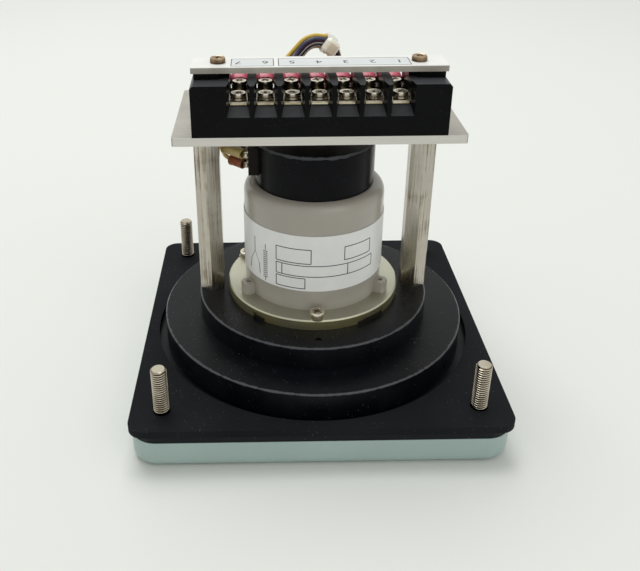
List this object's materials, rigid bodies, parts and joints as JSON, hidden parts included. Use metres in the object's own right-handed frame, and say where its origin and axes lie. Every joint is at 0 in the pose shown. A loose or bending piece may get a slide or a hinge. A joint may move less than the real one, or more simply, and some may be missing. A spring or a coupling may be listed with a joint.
{
  "type": "rudder angle indicator",
  "caption": "Square panel instrument standing on its face: stepped round housing, synchro motor on a ring, hexagonal posts, plate and barrier terminal block with leads.",
  "frame": {"origin": "centre of the square front face, on the surface that the instrument stands on", "axes": "+Z along the pointer's axis, out of the back; -Y towards the front terminal row; +X to the right of someone who looks along +Y"},
  "size_m": [0.144, 0.144, 0.1405],
  "materials": {
    "sea_green_paint": "satin",
    "window_glass": "gloss",
    "black_rubber": "matte",
    "black_plastic": "gloss",
    "nickel_screws": "satin",
    "black_casting": "satin",
    "turned_aluminium": "satin",
    "grey_paint": "gloss",
    "white_band": "satin",
    "phenolic": "matte",
    "tinned_brass": "satin",
    "varnished_sleeve": "satin",
    "bearing_steel": "satin",
    "enamelled_wire": "gloss",
    "nickel_post": "satin",
    "brushed_plate": "satin",
    "block_plastic": "gloss",
    "red_sleeve": "satin",
    "white_strip": "satin",
    "dial_paint": "matte",
    "pointer_paint": "matte",
    "lamp_glass": "gloss",
    "yellow_lead": "satin",
    "navy_lead": "satin",
    "red_lead": "satin",
    "black_lead": "satin",
    "beige_lead": "satin",
    "white_lead": "satin",
    "clear_nylon": "satin"
  },
  "bodies": {
    "indicator": {"beige_lead": "beige_lead", "bezel": "sea_green_paint", "bezel_screws": "nickel_screws", "black_lead": "black_lead", "block_screws": "nickel_screws", "brush_block": "phenolic", "brushes": "tinned_brass", "cable_tie": "clear_nylon", "clamp_washers": "nickel_screws", "dial_pillars": "tinned_brass", "dial_plate": "dial_paint", "dial_screws": "nickel_screws", "ear_screws": "nickel_screws", "flange_screws": "nickel_screws", "front_bearing": "bearing_steel", "housing": "black_casting", "lamp_board": "phenolic", "lamp_bulbs": "lamp_glass", "lamp_grommet": "black_rubber", "lamp_holders": "tinned_brass", "left_lamp_lead": "white_lead", "left_post": "nickel_post", "link_bars": "nickel_screws", "lug_sleeves": "varnished_sleeve", "marking_strip": "white_strip", "mount_flange": "turned_aluminium", "mounting_studs": "nickel_screws", "nameplate_band": "white_band", "navy_lead": "navy_lead", "panel_gasket": "black_rubber", "pole_screws": "nickel_screws", "post_screws": "nickel_screws", "rear_bearing": "bearing_steel", "red_lead": "red_lead", "right_lamp_lead": "white_lead", "right_post": "nickel_post", "ring_terminals": "tinned_brass", "service_plugs": "nickel_screws", "solder_lugs": "tinned_brass", "spacer_ring": "black_plastic", "stator_core": "bearing_steel", "stator_windings": "enamelled_wire", "strip_screws": "nickel_screws", "synchro_case": "grey_paint", "synchro_end_cap": "black_plastic", "terminal_block": "block_plastic", "terminal_board": "phenolic", "terminal_plate": "brushed_plate", "terminal_sleeves": "red_sleeve", "window_glass": "window_glass", "window_seal": "black_rubber", "yellow_lead": "yellow_lead"},
    "rotor": {"rotor_shaft": "bearing_steel", "rotor_core": "bearing_steel", "rotor_winding": "enamelled_wire", "slip_ring_hub": "phenolic", "slip_rings": "tinned_brass", "pointer": "pointer_paint", "pointer_hub": "tinned_brass", "pointer_nut": "tinned_brass"}
  },
  "joints": [
    {"name": "pointer_spin", "type": "hinge", "parent": "indicator", "child": "rotor", "pos_m": [0, 0, 0], "axis": [0, 0, 1], "continuous": true}
  ]
}
